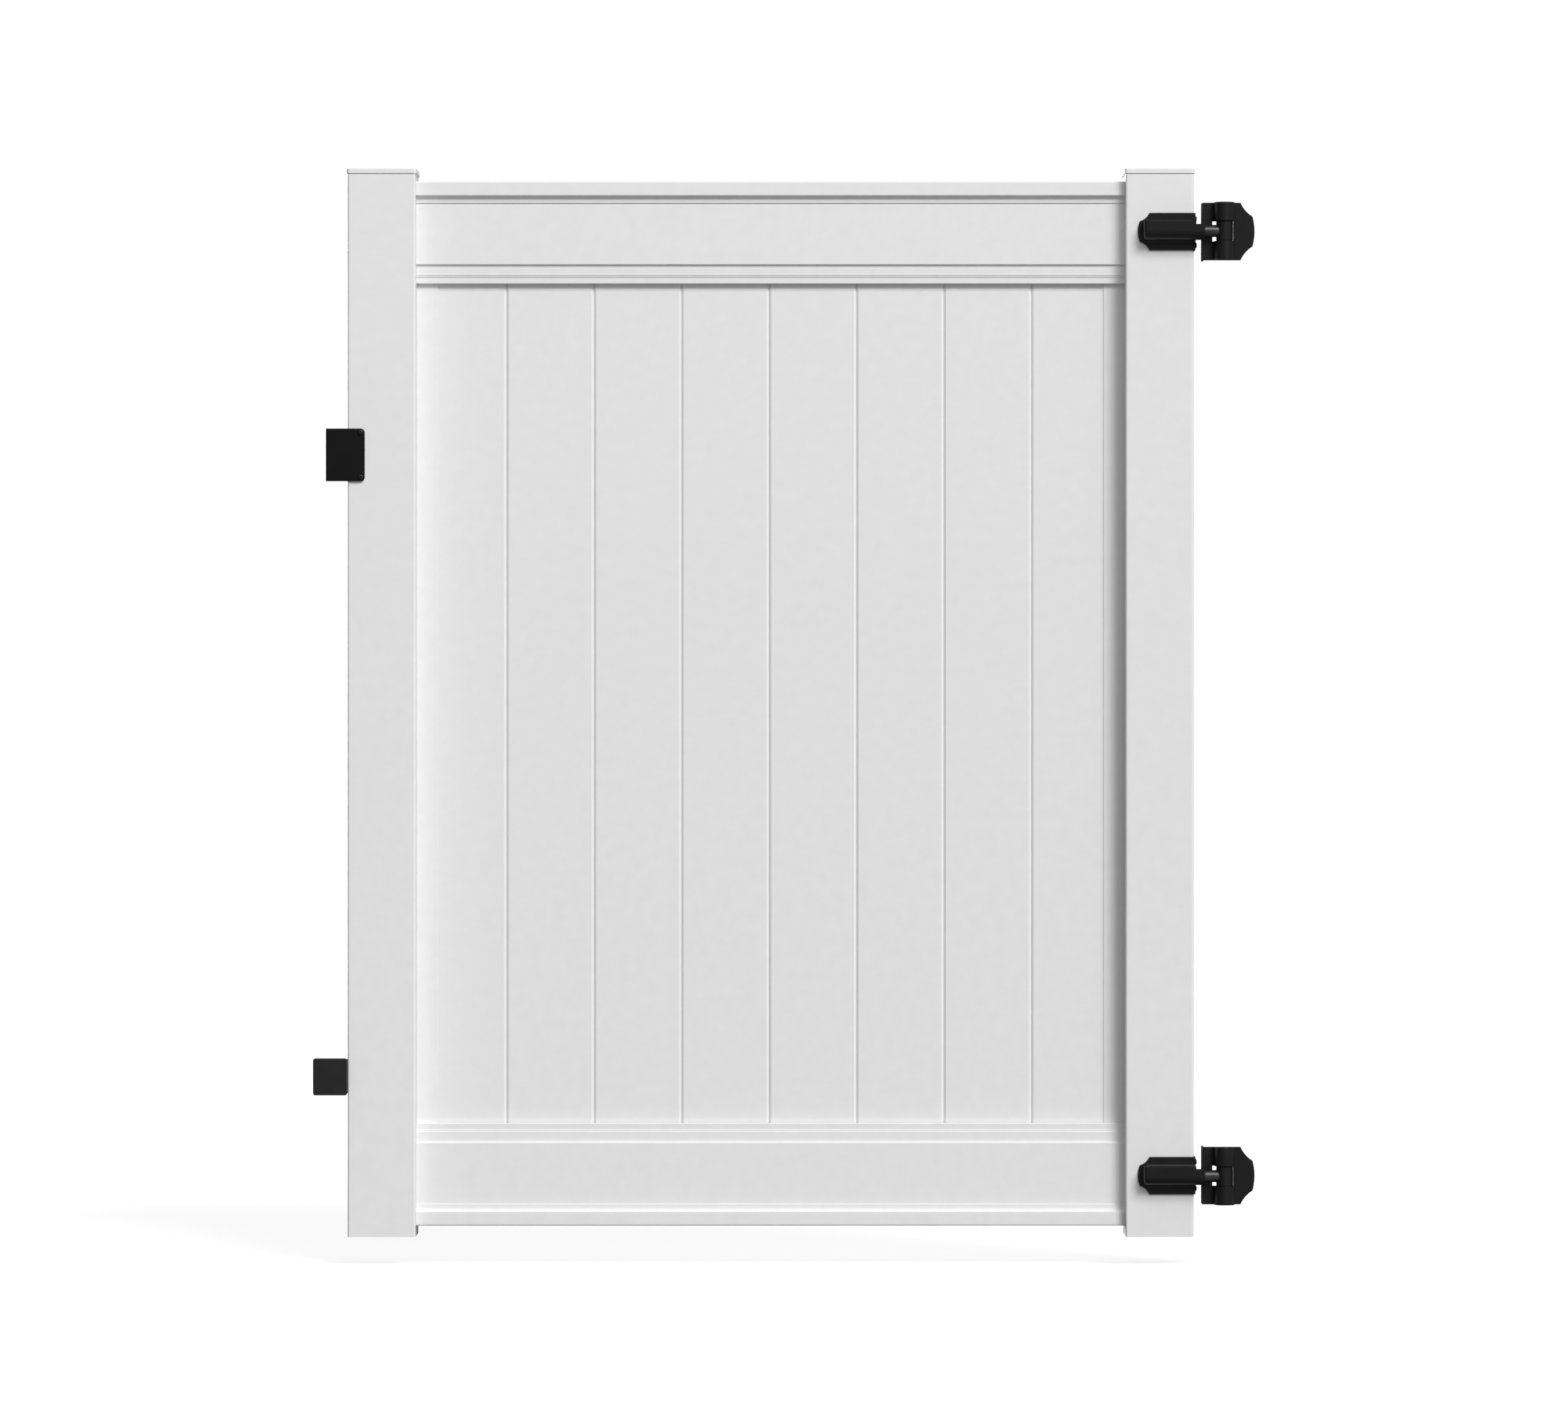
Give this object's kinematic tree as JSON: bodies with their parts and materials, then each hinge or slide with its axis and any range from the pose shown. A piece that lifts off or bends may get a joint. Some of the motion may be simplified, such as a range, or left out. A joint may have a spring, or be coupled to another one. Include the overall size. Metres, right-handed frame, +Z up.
{
  "type": "garden gate",
  "caption": "White vinyl privacy gate of tongue-and-groove boards between moulded rails and square stiles, with black self-closing hinges, a gravity latch and a stop.",
  "frame": {"origin": "on the hinge pins' axis, level with the bottoms of the stiles", "axes": "+X across the gate towards the hinge post, -Y towards the front, which the gate opens to, +Z up along the hinge pins"},
  "size_m": [1.6342, 0.1855, 1.8565],
  "materials": {
    "vinyl": "satin white extruded vinyl",
    "zinc_screw": "zinc plated",
    "aluminium": "mill finish",
    "hinge_black": "satin black powder coat",
    "hinge_cap": "moulded black nylon",
    "pin_steel": "turned steel",
    "rod_black": "black electrocoat over turned steel",
    "black_screw": "black oxide",
    "latch_black": "satin black powder coat",
    "stop_nylon": "fine-grained black nylon",
    "rubber": "black moulded rubber"
  },
  "bodies": {
    "post_side": {"lower_post_leaf": "hinge_black", "lower_tension_cap": "hinge_cap", "lower_hinge_pin": "pin_steel", "lower_tension_spring": "pin_steel", "upper_post_leaf": "hinge_black", "upper_tension_cap": "hinge_cap", "upper_hinge_pin": "pin_steel", "upper_tension_spring": "pin_steel"},
    "gate": {"stile_hinge_side": "vinyl", "stile_latch_side": "vinyl", "cap_hinge_side": "vinyl", "cap_latch_side": "vinyl", "top_rail": "vinyl", "bottom_rail": "vinyl", "board_1": "vinyl", "board_2": "vinyl", "board_3": "vinyl", "board_4": "vinyl", "board_5": "vinyl", "board_6": "vinyl", "board_7": "vinyl", "board_8": "vinyl", "u_channel_latch_side": "vinyl", "u_channel_hinge_side": "vinyl", "channel_screws_latch_side": "zinc_screw", "channel_screws_hinge_side": "zinc_screw", "hinge_stile_stiffener": "aluminium", "top_rail_stiffener": "aluminium", "bottom_rail_stiffener": "aluminium", "lower_gate_leaf": "hinge_black", "lower_knuckle": "hinge_black", "lower_adjuster_rod": "rod_black", "lower_set_screws": "black_screw", "lower_leaf_screws": "black_screw", "upper_gate_leaf": "hinge_black", "upper_knuckle": "hinge_black", "upper_adjuster_rod": "rod_black", "upper_set_screws": "black_screw", "upper_leaf_screws": "black_screw", "latch_body": "latch_black", "latch_pivot": "pin_steel", "latch_screws": "black_screw", "stop_screws": "black_screw", "stop_bracket": "stop_nylon", "stop_bumper": "rubber"},
    "catch": {"latch_catch": "latch_black"}
  },
  "joints": [
    {"name": "gate_swing", "type": "hinge", "parent": "post_side", "child": "gate", "pos_m": [0, 0, 0], "axis": [0, 0, 1], "range_deg": [0, 100], "stiffness_Nm_per_rad": 8, "springref_deg": -34.38},
    {"name": "catch_lift", "type": "hinge", "parent": "gate", "child": "catch", "pos_m": [-1.5283, 0.033, 1.377], "axis": [1, 0, 0], "range_deg": [0, 25]}
  ]
}
